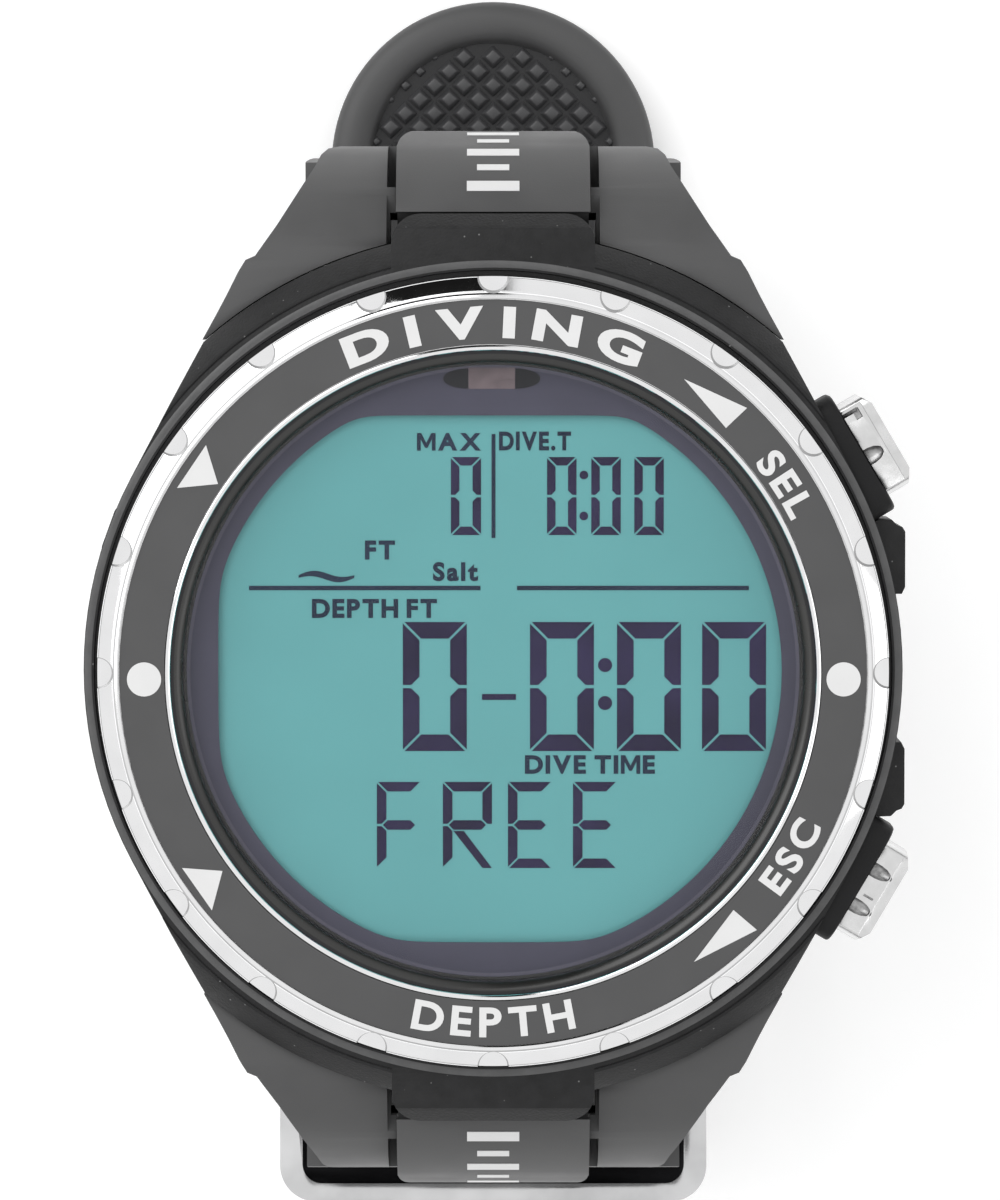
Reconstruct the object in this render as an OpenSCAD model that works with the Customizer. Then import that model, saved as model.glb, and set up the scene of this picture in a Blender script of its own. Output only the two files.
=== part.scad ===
// Wrist dive computer, lying face up with its strap closed below it.
// +Z leaves the display, +Y points to 12 o'clock, +X to the buttons.
// The origin is the centre of the flat back face, where it meets the wrist.

/* [Case] */
// Diameter of the case across 3 and 9 o'clock
case_d = 60.4; // [60:0.1:60.8]
// Height from the back face to the bezel's top edge
case_h = 17; // [16.9:0.05:17.2]
// Wall height of the case, from the back face to the bezel's seat
rim_z = 12; // [11.9:0.05:12.1]

/* [Bezel] */
// Outer diameter of the steel bezel
bezel_d = 58; // [57.6:0.1:58.4]
// Number of half-round grip notches
notches = 20; // [12:1:30]
// Diameter of the visible glass
glass_d = 45.4; // [45.2:0.1:45.4]

/* [Buttons] */
// Angle of each button from 3 o'clock
button_angle = 30.5; // [29.5:0.5:31.5]
// Length of a button cap along the case
cap_len = 7.6; // [7:0.1:7.7]
// Travel of a button
button_travel = 0.75; // [0.5:0.05:0.75]

/* [Strap] */
// Width of the strap where it leaves the case
strap_w = 28.4; // [27.4:0.2:29]
// Width of the long strap's tail
tail_w = 26.6; // [26:0.2:26.8]
// How far the round tip reaches past the middle of the case
tail_reach = 51.5; // [48:0.5:54]

/* [Buckle] */
// Outer width of the buckle frame
buckle_w = 34.9; // [34.6:0.1:36]
// Distance from the buckle pin to the outer edge of the frame
buckle_len = 22.9; // [22.5:0.1:23.5]

/* [Hidden] */
$fn = 72;
eps = 0.01;

// Case
case_r = case_d / 2;
shoulder = [21.4, 24.1];      // where a straight flank meets the end's arc
end_r = 32.25;                // radius of the case's ends
ridge_z = 0.45;               // height of the ridge round the bezel's seat
ridge_r = 29.55;
bevel_r = 30.8;
back_edge_z = 1.4;            // height of the undercut round the back
cavity_r = 21.5;
chassis_z = 10.9;             // ledge that carries the display chassis
chassis_r = 22;
glass_seat_z = 14;
lug_half = 7.1;               // half width of the centre lug
lug_end = 33.6;               // end of the lug's top
lug_corner = 2.2;
lug_bevel = 1.1;
pin_at = [34, 6];             // strap pin in the YZ plane
eye_r = 2;
pin_r = 0.85;
running = 0.05;               // radial clearance of pins and stems

// Back
cover_r = 25;
cover_t = 2.4;
screw_ring_r = 23.8;
door_r = 13.2;                // bore of the battery door
door_cap_r = 13.1;

// Bezel and glass
bezel_r = bezel_d / 2;
insert_out_r = 27.36;
insert_in_r = 24;
bezel_bore_r = 23.6;
insert_z = 16.2;
notch_r = 1.05;
notch_depth = 2.2;
glass_r = glass_d / 2;
window_r = 21.2;

// Buttons, in a frame whose X axis is the button's own axis
button_z = 8.8;
cap_back = 29.4;
cap_face = 34.05;
cap_h = 4.8;
guard_seat = 28.6;
guard_face = 31.7;
guard_len = 9.8;
guard_h = 5.9;
stem_r = 1.25;
stem_end = 20.2;
spring_seat = 25;

// Strap loop, drawn in the YZ plane
hood_at = [27, -1.5];         // centre of the hood's round back
wing_r = 11.8;
tab_r = 12.95;
hood_low_z = -2;             // lowest edge of the hood
short_t = 3;
long_t = 2.8;
short_corner = [16.7, -19.3];
short_corner_r = 20;
short_side_r = 250;
long_corner = [23.6, -26.4];
long_corner_r = 16;
long_side_r = 145;
side_top_z = -1.5;            // where a side runs into the hood
short_z = short_corner[1] - short_corner_r;
long_z = long_corner[1] - long_corner_r;
tip_y = tail_reach - tail_w / 2;
rim_w = 3.45;
recess_d = 0.5;
short_w = 27;

// Buckle
buckle_pin_at = [-24, -38.6];
buckle_tilt = 6.5;
buckle_t = 2.2;
buckle_bar = 1.85;
buckle_plate = 5.6;           // width of the outer bar with its lip
keeper_w = 27.6;

// ---- helpers -----------------------------------------------------------

// A YZ outline as a slab of width w, centred on the YZ plane
module along_x(w) {
    translate([-w / 2, 0, 0])
        rotate([90, 0, 90])
            linear_extrude(w)
                children();
}

// A rectangle with round corners, centred
module round_rect(w, h, r) {
    square([w - 2 * r, h], center = true);
    square([w, h - 2 * r], center = true);
    for (x = [-1, 1], y = [-1, 1])
        translate([x * (w / 2 - r), y * (h / 2 - r)])
            circle(r = r);
}

// A wedge from angle a0 to a1, less than a half turn
module wedge(a0, a1, r) {
    steps = 4;
    polygon(concat([[0, 0]], [for (i = [0:steps]) let (a = a0 + (a1 - a0) * i / steps)
        [r * cos(a), r * sin(a)]]));
}

// A stretch of a round band, t thick
module arc_band(c, r, t, a0, a1) {
    translate(c)
        intersection() {
            difference() {
                circle(r = r + t / 2, $fn = 144);
                circle(r = r - t / 2, $fn = 144);
            }
            wedge(a0, a1, 1.6 * (r + t));
        }
}

// A straight bar with round ends from p to q
module bar(p, q, t) {
    d = q - p;
    translate(p)
        rotate(atan2(d[1], d[0])) {
            translate([0, -t / 2])
                square([norm(d), t]);
            circle(r = t / 2);
            translate([norm(d), 0])
                circle(r = t / 2);
        }
}

module torus(ring_r, wire_r) {
    rotate_extrude()
        translate([ring_r, 0])
            circle(r = wire_r, $fn = 24);
}

// Places a child in a button's own frame: side is 1 above 3 o'clock, -1 below
module at_button(side) {
    rotate([0, 0, side * button_angle])
        translate([0, 0, button_z])
            children();
}

// A cylinder along the button's axis
module x_rod(x0, x1, r) {
    translate([x0, 0, 0])
        rotate([0, 90, 0])
            cylinder(r = r, h = x1 - x0);
}

// A YZ outline of the button, extruded along its axis
module x_slab(x0, x1) {
    translate([x0, 0, 0])
        rotate([90, 0, 90])
            linear_extrude(x1 - x0)
                children();
}

// ---- case --------------------------------------------------------------

// Outline of the case from above: a disc, two shouldered ends and their arcs
module case_plan() {
    reach = norm(shoulder);
    touch = atan2(shoulder[1], shoulder[0]) - acos(case_r / reach);
    tangent = [case_r * cos(touch), case_r * sin(touch)];
    circle(r = case_r, $fn = 144);
    intersection() {
        circle(r = end_r, $fn = 144);
        square([2 * shoulder[0], 2 * end_r], center = true);
    }
    for (s = [-1, 1])
        polygon([[-shoulder[0], s * shoulder[1]], [shoulder[0], s * shoulder[1]],
                 [tangent[0], s * tangent[1]], [-tangent[0], s * tangent[1]]]);
}

// Side view of the centre lug: a block with a bevelled end and the eye for the pin
module lug_profile() {
    top = rim_z + ridge_z;
    polygon([[26, 3.4], [26, top], [lug_end - lug_bevel, top], [lug_end, top - lug_bevel],
             [lug_end, 3.4]]);
    translate(pin_at)
        circle(r = eye_r);
}

// Centre lug at 12 o'clock, with round corners seen from above
module centre_lug() {
    intersection() {
        along_x(2 * lug_half + 1)
            lug_profile();
        union() {
            linear_extrude(20) {
                translate([-lug_half - 0.4, 20])
                    square([2 * lug_half + 0.8, lug_end - lug_corner - 20]);
                for (x = [-1, 1])
                    translate([x * (lug_half + 0.4 - lug_corner), lug_end - lug_corner])
                        circle(r = lug_corner);
                translate([-lug_half - 0.4 + lug_corner, 20])
                    square([2 * (lug_half + 0.4 - lug_corner), lug_end - 20]);
            }
            along_x(2 * lug_half)
                translate(pin_at)
                    circle(r = eye_r);
        }
    }
}

// Rib beside a button, flat on the outside: side is 1 above 3 o'clock, -1 below
module side_rib(side) {
    translate([0, 0, 3.4])
        linear_extrude(7)
            polygon([for (p = [[27, 11.1], [29.5, 11], [29.9, 10.6], [30.3, 10.45], [30.5, 10.1],
                               [30.5, 6], [30.25, 5.5], [27, 5.5]]) [p[0], side * p[1]]]);
}

module case_body() color([0.13, 0.13, 0.14]) {
    difference() {
        union() {
            difference() {
                union() {
                    translate([0, 0, back_edge_z])
                        linear_extrude(rim_z + ridge_z - back_edge_z)
                            case_plan();
                    cylinder(r = cover_r + 2, h = back_edge_z + eps);
                    side_rib(1);
                    side_rib(-1);
                    // small rib at the left
                    rotate([0, 0, 160])
                        translate([0, 0, 3.4])
                            linear_extrude(7)
                                polygon([[case_r - 1.5, -2.3], [case_r - 0.1, -2.1], [case_r + 0.1, -1.4],
                                         [case_r + 0.1, 1.4], [case_r - 0.1, 2.1], [case_r - 1.5, 2.3]]);
                }
                // bevel outside the ridge, and a fine line on top of it
                rotate_extrude($fn = 144)
                    polygon([[bevel_r, rim_z + ridge_z], [bevel_r, rim_z + 2], [36, rim_z + 2],
                             [36, 9], [end_r, rim_z - 1.2]]);
                translate([0, 0, rim_z + ridge_z - 0.15])
                    rotate_extrude($fn = 144)
                        translate([bevel_r - 0.35, 0])
                            square([0.12, 0.5]);
            }
            cylinder(r = bezel_bore_r - 0.1, h = glass_seat_z);
            for (m = [0, 1])
                mirror([0, m, 0])
                    centre_lug();
        }
        // flat seat of the bezel, inside the ridge
        rotate_extrude($fn = 144)
            polygon([[bezel_bore_r - 0.1, rim_z], [ridge_r - 0.15, rim_z],
                     [ridge_r + 0.1, rim_z + 2], [bezel_bore_r - 0.1, rim_z + 2]]);
        // seat of the back cover, cavity and chassis ledge
        translate([0, 0, -eps])
            cylinder(r = cover_r + 0.1, h = cover_t + eps);
        cylinder(r = cavity_r, h = glass_seat_z);
        translate([0, 0, chassis_z])
            cylinder(r = chassis_r, h = glass_seat_z);
        for (a = [45:90:315])
            rotate([0, 0, a])
                translate([screw_ring_r, 0, 0])
                    cylinder(r = 0.6, h = 6);
        // strap pins
        for (m = [0, 1])
            mirror([0, m, 0])
                along_x(2 * lug_half + 1)
                    translate(pin_at)
                        circle(r = pin_r + running);
        // button seats, spring wells and stem bores
        for (side = [-1, 1])
            at_button(side) {
                translate([guard_seat, -guard_len / 2 - 0.1, -guard_h / 2 - 0.1])
                    cube([5, guard_len + 0.2, guard_h + 0.2]);
                x_rod(spring_seat, guard_seat + 1, 2.2);
                x_rod(cavity_r - 2, guard_seat, stem_r + running);
            }
    }
}

// ---- back --------------------------------------------------------------

module back_cover() color([0.62, 0.62, 0.63]) {
    boss_r = 15.2;
    boss_z = 3.6;
    difference() {
        union() {
            cylinder(r = cover_r, h = cover_t);
            cylinder(r = boss_r, h = boss_z);
        }
        translate([0, 0, -1])
            cylinder(r = door_r, h = 6);
        // entries for the cap's bayonet lugs
        for (a = [30:120:270])
            rotate([0, 0, a])
                translate([door_r - 1, -3.2, -1])
                    cube([2.1, 6.4, 6]);
        // gasket groove
        translate([0, 0, cover_t - 0.7])
            rotate_extrude()
                translate([21.8, 0])
                    square([0.8, 1]);
        for (a = [45:90:315])
            rotate([0, 0, a])
                translate([screw_ring_r, 0, -1]) {
                    cylinder(r = 0.65, h = 5);
                    cylinder(r = 1, h = 1.8);
                }
        // water ports of the pressure sensor
        for (a = [0:120:240])
            translate([-17.6, 0, -1])
                rotate([0, 0, a])
                    translate([0.9, 0, 0])
                        cylinder(r = 0.45, h = 5);
    }
}

module back_gasket() color([0.08, 0.08, 0.08])
    translate([0, 0, cover_t - 0.35])
        torus(22.2, 0.34);

module back_screws() color([0.75, 0.75, 0.77])
    for (a = [45:90:315])
        rotate([0, 0, a])
            translate([screw_ring_r, 0, 0])
                difference() {
                    union() {
                        translate([0, 0, 0.1])
                            cylinder(r = 0.95, h = 0.7);
                        cylinder(r = 0.55, h = 5.6);
                    }
                    translate([-1.2, -0.15, -eps])
                        cube([2.4, 0.3, 0.4]);
                }

module battery_cap() color([0.58, 0.58, 0.6]) {
    lug_z = 3.65;
    top_z = 4.35;
    difference() {
        union() {
            translate([0, 0, 0.3])
                cylinder(r = door_cap_r, h = top_z - 0.3);
            for (a = [90:120:330])
                rotate([0, 0, a])
                    translate([door_cap_r - 1, -2.6, lug_z])
                        cube([1.9, 5.2, top_z - lug_z]);
        }
        // seat of the battery
        translate([0, 0, 3.9])
            cylinder(r = 12.35, h = 2);
        // groove of the O-ring
        translate([0, 0, 1.7])
            rotate_extrude()
                translate([12.3, 0])
                    square([2, 0.9]);
        // coin slot with round ends
        translate([0, 0, -eps])
            linear_extrude(1.3)
                round_rect(15, 1.9, 0.9);
    }
}

module battery_cap_oring() color([0.08, 0.08, 0.08])
    translate([0, 0, 2.15])
        torus(12.76, 0.4);

// ---- front -------------------------------------------------------------

module bezel_ring() color([0.82, 0.82, 0.83])
    difference() {
        rotate_extrude($fn = 144)
            polygon([[bezel_bore_r, rim_z], [bezel_r, rim_z], [bezel_r, case_h - 1.5],
                     [bezel_r - 0.35, case_h - 0.75], [bezel_r - 0.95, case_h - 0.2],
                     [insert_out_r + 0.15, case_h], [insert_out_r, case_h],
                     [insert_out_r, insert_z], [insert_in_r, insert_z],
                     [insert_in_r, case_h - 0.15], [bezel_bore_r, case_h - 0.15]]);
        for (i = [0:notches - 1])
            rotate([0, 0, 90 + i * 360 / notches])
                translate([bezel_r, 0, case_h - notch_depth])
                    cylinder(r = notch_r, h = case_h, $fn = 32);
    }

module bezel_insert() color([0.36, 0.36, 0.37])
    translate([0, 0, insert_z])
        difference() {
            cylinder(r = insert_out_r - 0.04, h = 0.55, $fn = 144);
            translate([0, 0, -1])
                cylinder(r = insert_in_r + 0.04, h = 3, $fn = 144);
        }

module crystal() color([0.7, 0.75, 0.8, 0.35])
    translate([0, 0, 14.5])
        cylinder(r = glass_r - 0.05, h = 2, $fn = 144);

module crystal_gasket() color([0.1, 0.1, 0.1])
    rotate_extrude($fn = 144)
        polygon([[glass_r, 14.02], [bezel_bore_r - 0.02, 14.02], [bezel_bore_r - 0.02, 16.6],
                 [glass_r, 16.6], [glass_r, 14.48], [22.1, 14.48], [22.1, 14.3],
                 [glass_r, 14.3]]);

// Outline of the window in the mask: a disc cut flat at the top, bottom and left
module window_plan(grow = 0) {
    intersection() {
        circle(r = window_r + grow, $fn = 144);
        translate([-20.2 - grow, -20 - grow])
            square([45, 38.8 + 2 * grow]);
    }
}

module display_mask() color([0.34, 0.34, 0.4])
    translate([0, 0, glass_seat_z])
        difference() {
            cylinder(r = 22.6, h = 0.26, $fn = 144);
            translate([0, 0, -1])
                linear_extrude(3)
                    window_plan();
            // tab-shaped notch at the top of the window
            translate([-1.65, 18, -1])
                cube([3.3, 1.5, 3]);
        }

module lcd_panel() color([0.41, 0.65, 0.65])
    translate([0, 0, 12.2])
        linear_extrude(1.4)
            intersection() {
                circle(r = 21.5, $fn = 144);
                window_plan(0.8);
            }

module backlight_panel() color([0.85, 0.88, 0.86])
    translate([0, 0, 11.62])
        linear_extrude(0.55)
            intersection() {
                circle(r = 21.2, $fn = 144);
                window_plan(0.4);
            }

module display_chassis() color([0.88, 0.88, 0.86]) {
    difference() {
        translate([0, 0, chassis_z + 0.02])
            cylinder(r = chassis_r - 0.05, h = 3);
        translate([0, 0, 11.6])
            cylinder(r = chassis_r - 0.45, h = 4);
    }
    for (a = [75:120:315])
        rotate([0, 0, a])
            translate([17, 0, 10.4])
                cylinder(r = 1, h = 1);
}

// ---- inside ------------------------------------------------------------

module circuit_board() color([0.1, 0.35, 0.2]) {
    board_r = 18.9;
    difference() {
        translate([0, 0, 9.4])
            cylinder(r = board_r, h = 1);
        for (a = [15:120:255])
            rotate([0, 0, a])
                translate([17, 0, 9])
                    cylinder(r = 0.6, h = 2);
    }
    // chips on the underside
    for (chip = [[100, 4, 4], [145, 3, 2.4], [235, 3.4, 3.4], [275, 2.4, 2]])
        rotate([0, 0, chip[0]])
            translate([16.1, 0, 9])
                cube([chip[1], chip[2], 0.9], center = true);
}

// Two side-acting switches, each facing the end of a button's stem
module side_switches() color([0.2, 0.2, 0.22])
    for (side = [-1, 1])
        rotate([0, 0, side * button_angle]) {
            translate([16.6, -2, 7.3])
                cube([2.2, 4, 2.08]);
            translate([18.7, 0, 8.5])
                rotate([0, 90, 0])
                    cylinder(r = 0.6, h = 0.65);
        }

module piezo_buzzer() color([0.8, 0.7, 0.4])
    translate([0, 0, 8.95]) {
        cylinder(r = 6, h = 0.2);
        cylinder(r = 4.5, h = 0.4);
    }

module pressure_sensor() color([0.7, 0.7, 0.72])
    translate([-17.6, 0, cover_t]) {
        cylinder(r = 2, h = 2.6);
        translate([-1.6, -1.6, 2.5])
            cube([3.2, 3.2, 1.6]);
    }

module battery_tray() color([0.85, 0.85, 0.83])
    difference() {
        translate([0, 0, 4.6])
            cylinder(r = 13.8, h = 4.3);
        translate([0, 0, 4])
            cylinder(r = 12.45, h = 4.3);
        translate([0, 0, 4])
            cylinder(r = 3, h = 6);
    }

module battery_contact() color([0.85, 0.75, 0.45])
    rotate([90, 0, 0])
        linear_extrude(3, center = true)
            polygon([[-8, 8.28], [-5, 8.28], [0, 7.2], [5, 8.28], [8, 8.28], [8, 8.1],
                     [5.1, 8.1], [0, 7.02], [-5.1, 8.1], [-8, 8.1]]);

module coin_battery() color([0.75, 0.75, 0.77])
    translate([0, 0, 3.95]) {
        cylinder(r = 12.25, h = 2.6);
        cylinder(r = 11, h = 3);
    }

// ---- buttons -----------------------------------------------------------

module button_guard(side) color([0.1, 0.1, 0.1])
    at_button(side)
        x_slab(guard_seat, guard_face)
            difference() {
                round_rect(guard_len, guard_h, 1.5);
                round_rect(cap_len + 0.3, cap_h + 0.3, 1.3);
            }

module button(side) color([0.82, 0.82, 0.83])
    at_button(side)
        difference() {
            union() {
                x_slab(cap_back, cap_face - 0.5)
                    round_rect(cap_len, cap_h, 1.2);
                x_slab(cap_face - 0.5, cap_face)
                    round_rect(cap_len - 0.5, cap_h - 0.5, 1);
                x_rod(stem_end, cap_back + eps, stem_r);
            }
            // flutes across the top and bottom of the cap
            for (y = [-1.3, 1.3], z = [-1, 1])
                translate([cap_back + 1.2, y, z * (cap_h / 2 + 0.25)])
                    rotate([0, 90, 0])
                        cylinder(r = 0.55, h = 6, $fn = 24);
            // grooves of the O-ring and the clip
            for (g = [[23, 0.8], [20.85, 0.4]])
                difference() {
                    x_rod(g[0], g[0] + g[1], stem_r + 1);
                    x_rod(g[0] - 1, g[0] + g[1] + 1, stem_r - 0.35);
                }
        }

module button_oring(side) color([0.08, 0.08, 0.08])
    at_button(side)
        translate([23.4, 0, 0])
            rotate([0, 90, 0])
                torus(1.1, 0.19);

module button_clip(side) color([0.7, 0.7, 0.72])
    at_button(side)
        x_slab(20.9, 21.2)
            difference() {
                circle(r = 1.8);
                circle(r = 0.95);
                translate([-0.45, -3])
                    square([0.9, 3]);
            }

// A coil of square wire swept round the stem
module button_spring(side) color([0.75, 0.75, 0.77]) {
    turns = 4;
    steps = 16;
    wire = 0.36;
    coil_r = 1.72;
    x0 = spring_seat + wire / 2 + 0.02;
    pitch = (cap_back - spring_seat - wire - 0.04) / turns;
    rings = turns * steps;
    points = [for (i = [0:rings], c = [[-1, -1], [1, -1], [1, 1], [-1, 1]])
        let (a = 360 * i / steps, r = coil_r + c[1] * wire / 2)
            [x0 + pitch * i / steps + c[0] * wire / 2, r * cos(a), r * sin(a)]];
    sides = [for (i = [0:rings - 1], k = [0:3])
        [4 * i + k, 4 * i + (k + 1) % 4, 4 * i + 4 + (k + 1) % 4, 4 * i + 4 + k]];
    last = 4 * rings;
    at_button(side)
        polyhedron(points, concat(sides, [[3, 2, 1, 0]],
                                  [[last, last + 1, last + 2, last + 3]]));
}

// ---- strap -------------------------------------------------------------

module strap_pin(m) color([0.75, 0.75, 0.77])
    mirror([0, m, 0])
        translate([0, pin_at[0], pin_at[1]])
            rotate([0, 90, 0]) {
                translate([0, 0, -13.6])
                    cylinder(r = pin_r, h = 27.2);
                for (x = [-14, 13.2])
                    translate([0, 0, x])
                        cylinder(r = 1.3, h = 0.8);
            }

// Outline of the hood from above, at 12 o'clock: wings along the case that taper to the end
module hood_plan() {
    half = [[21.5, 24.3], [20.5, 26.1], [19.7, 27.6], [18.85, 29.3], [18.3, 30.2], [17.6, 30.5],
            [16, 32.8], [14.7, 34.9], [13.3, 37.2], [12.9, 38.1], [12.4, 38.6], [11.5, 38.8]];
    back = [for (i = [len(half) - 1:-1:0]) [-half[i][0], half[i][1]]];
    difference() {
        union() {
            polygon(concat([[0, 24]], half, [[7.4, 38.8], [-7.4, 38.8]], back));
            translate([0, 36.5])
                round_rect(2 * lug_half + 0.2, 7, 1.5);
        }
        circle(r = end_r + 0.1, $fn = 144);
    }
}

// Side view of a wing: flat along the case, then round to its end
module wing_profile() {
    top = hood_at[1] + wing_r;
    intersection() {
        union() {
            translate(hood_at)
                circle(r = wing_r, $fn = 96);
            translate([23, 0])
                square([hood_at[0] - 23, top]);
        }
        polygon([[23, 7.6], [23, 14], [42, 14], [42, hood_low_z], [33.5, hood_low_z],
                 [31.5, 1]]);
    }
}

// The hood that wraps the lug, at 12 o'clock
module hood() {
    groove = 0.7;
    difference() {
        intersection() {
            union() {
                along_x(46)
                    wing_profile();
                along_x(2 * lug_half + 0.2)
                    intersection() {
                        translate(hood_at)
                            circle(r = tab_r, $fn = 96);
                        translate([lug_end + 0.15, hood_low_z])
                            square([14, 14 - hood_low_z]);
                    }
            }
            linear_extrude(20, center = true)
                hood_plan();
        }
        // room for the case's lug and the pin's two heads
        along_x(2 * lug_half + 1.1)
            translate([20, -2])
                square([lug_end + 0.1 - 20, 16]);
        along_x(2 * lug_half + 0.3) {
            translate(pin_at)
                circle(r = eye_r + 0.15);
            translate([pin_at[0] - 4, -2])
                square([4 + eye_r + 0.15, pin_at[1] + 2]);
        }
        along_x(30)
            translate(pin_at)
                circle(r = pin_r + running);
        for (x = [-1, 1])
            translate([x * 15.2, pin_at[0], pin_at[1]])
                rotate([0, 90, 0])
                    cylinder(r = 1.4, h = 4.2, center = true);
        // the two grooves beside the centre tab
        for (x = [-1, 1])
            translate([x * (lug_half + 0.1 + groove / 2) - groove / 2, 0, 0]) {
                translate([0, 28, pin_at[1] + 1.2])
                    cube([groove, 14, 10]);
                translate([0, pin_at[0] + 1.6, -1])
                    cube([groove, 6, 12]);
            }
    }
}

// Side of the strap from the hood down to the corner, then round the corner
module side_profile(corner, corner_r, side_r, t) {
    rise = asin((side_top_z - corner[1]) / side_r);
    arc_band([corner[0] + corner_r - side_r, corner[1]], side_r, t, 0, rise);
    arc_band(corner, corner_r, t, -90, 0);
}

// Outline of the band seen along Y: wide at the hood, narrower below
module band_front(w) {
    polygon([[-strap_w / 2, 6], [strap_w / 2, 6], [strap_w / 2, -4], [w / 2, -24],
             [w / 2, -50], [-w / 2, -50], [-w / 2, -24], [-strap_w / 2, -4]]);
}

module short_strap() color([0.36, 0.36, 0.36])
    difference() {
        union() {
            hood();
            intersection() {
                along_x(strap_w + 2)
                    difference() {
                        union() {
                            side_profile(short_corner, short_corner_r, short_side_r, short_t);
                            translate([buckle_pin_at[0], short_z - short_t / 2])
                                square([short_corner[0] - buckle_pin_at[0] + eps, short_t]);
                            translate(buckle_pin_at)
                                circle(r = 2.1);
                        }
                        translate(buckle_pin_at)
                            circle(r = pin_r);
                        // clear of the case's lug
                        translate(pin_at)
                            circle(r = eye_r + 0.15);
                    }
                rotate([90, 0, 0])
                    linear_extrude(140, center = true)
                        band_front(short_w);
            }
        }
        // slot in the eye for the prong
        translate([-1.7, -27, -42])
            cube([3.4, 7, 6]);
    }

// Outline of the tail from above, with its half-round tip
module tail_plan(inset = 0) {
    translate([-tail_w / 2 + inset, -60])
        square([tail_w - 2 * inset, tip_y + 60]);
    translate([0, tip_y])
        circle(r = tail_w / 2 - inset, $fn = 96);
}

module long_strap() color([0.36, 0.36, 0.36])
    difference() {
        union() {
            mirror([0, 1, 0])
                hood();
            intersection() {
                along_x(strap_w + 2) {
                    mirror([1, 0])
                        side_profile(long_corner, long_corner_r, long_side_r, long_t);
                    translate([-long_corner[0] - eps, long_z - long_t / 2])
                        square([long_corner[0] + tail_reach + 1, long_t]);
                }
                rotate([90, 0, 0])
                    linear_extrude(140, center = true)
                        band_front(tail_w);
                translate([0, 0, -50])
                    linear_extrude(60)
                        union() {
                            tail_plan();
                            translate([-20, -60])
                                square([40, 60]);
                        }
            }
        }
        // recess inside the tip's raised rim
        translate([0, 0, long_z + long_t / 2 - recess_d])
            linear_extrude(2)
                intersection() {
                    tail_plan(rim_w);
                    translate([-20, 35])
                        square([40, 40]);
                }
        // slot that holds the prong, and the spare slots
        translate([-1.7, -30.2, -46])
            cube([3.4, 9, 6.5]);
        for (i = [0:5])
            translate([0, -3 + 6.5 * i, long_z - 3])
                linear_extrude(6)
                    round_rect(3.2, 4.2, 1.5);
        // clear of the case's lug
        mirror([0, 1, 0])
            along_x(2 * lug_half + 0.3)
                translate(pin_at)
                    circle(r = eye_r + 0.15);
    }

// ---- buckle and keepers ------------------------------------------------

// Places a child at the buckle pin, with -Y towards the outer bar
module at_buckle() {
    translate([0, buckle_pin_at[0], buckle_pin_at[1]])
        rotate([-buckle_tilt, 0, 0])
            children();
}

module buckle_frame() color([0.82, 0.82, 0.83])
    at_buckle()
        difference() {
            union() {
                translate([0, -buckle_len / 2, -buckle_t / 2])
                    linear_extrude(buckle_t)
                        round_rect(buckle_w, buckle_len, 3);
                for (x = [-1, 1])
                    translate([x * (buckle_w - buckle_bar) / 2, 0, 0])
                        rotate([0, 90, 0])
                            cylinder(r = 1.9, h = buckle_bar, center = true);
            }
            // opening for the strap
            translate([0, (buckle_plate - buckle_len) / 2 + 1, -3])
                linear_extrude(6)
                    round_rect(buckle_w - 2 * buckle_bar, buckle_len - buckle_plate + 2, 1.2);
            // sunk face of the outer bar, inside its lip
            translate([0, -buckle_len / 2 + 1.5, 0.35])
                linear_extrude(3)
                    round_rect(buckle_w - 2 * buckle_bar, buckle_len, 1.6);
            translate([-20, -0.01, -3])
                intersection() {
                    cube([40, 6, 6]);
                    translate([20 - buckle_w / 2 + buckle_bar, 0, 0])
                        cube([buckle_w - 2 * buckle_bar, 6, 6]);
                }
            rotate([0, 90, 0])
                cylinder(r = pin_r, h = 50, center = true);
        }

module buckle_pin() color([0.75, 0.75, 0.77])
    translate([0, buckle_pin_at[0], buckle_pin_at[1]])
        rotate([0, 90, 0])
            cylinder(r = pin_r - running, h = buckle_w - 0.6, center = true);

// Cranked prong: down through the slot, then along the outside to the bar
module buckle_prong() color([0.82, 0.82, 0.83]) {
    wire = 1.6;
    path = [buckle_pin_at, [-27, -42.9], [-29.3, -44.2], [-46.4, -38.35]];
    along_x(2.6)
        difference() {
            union() {
                for (i = [0:len(path) - 2])
                    bar(path[i], path[i + 1], wire);
                translate(buckle_pin_at)
                    circle(r = 1.7);
            }
            translate(buckle_pin_at)
                circle(r = pin_r);
        }
}

// A loop round both layers of the strap, w long
module keeper(w) {
    inner_h = 6.4;
    wall = 1.5;
    mid_z = (short_z + short_t / 2 + long_z - long_t / 2) / 2;
    translate([0, 0, mid_z])
        rotate([90, 0, 0])
            linear_extrude(w, center = true)
                difference() {
                    round_rect(keeper_w + 2 * wall, inner_h + 2 * wall, 2);
                    round_rect(keeper_w, inner_h, 0.6);
                }
}

module fixed_keeper() color([0.33, 0.33, 0.33])
    translate([0, -13, 0])
        keeper(6);

module free_keeper() color([0.33, 0.33, 0.33])
    translate([0, 6, 0])
        keeper(7);

// ---- nodes -------------------------------------------------------------

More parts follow.
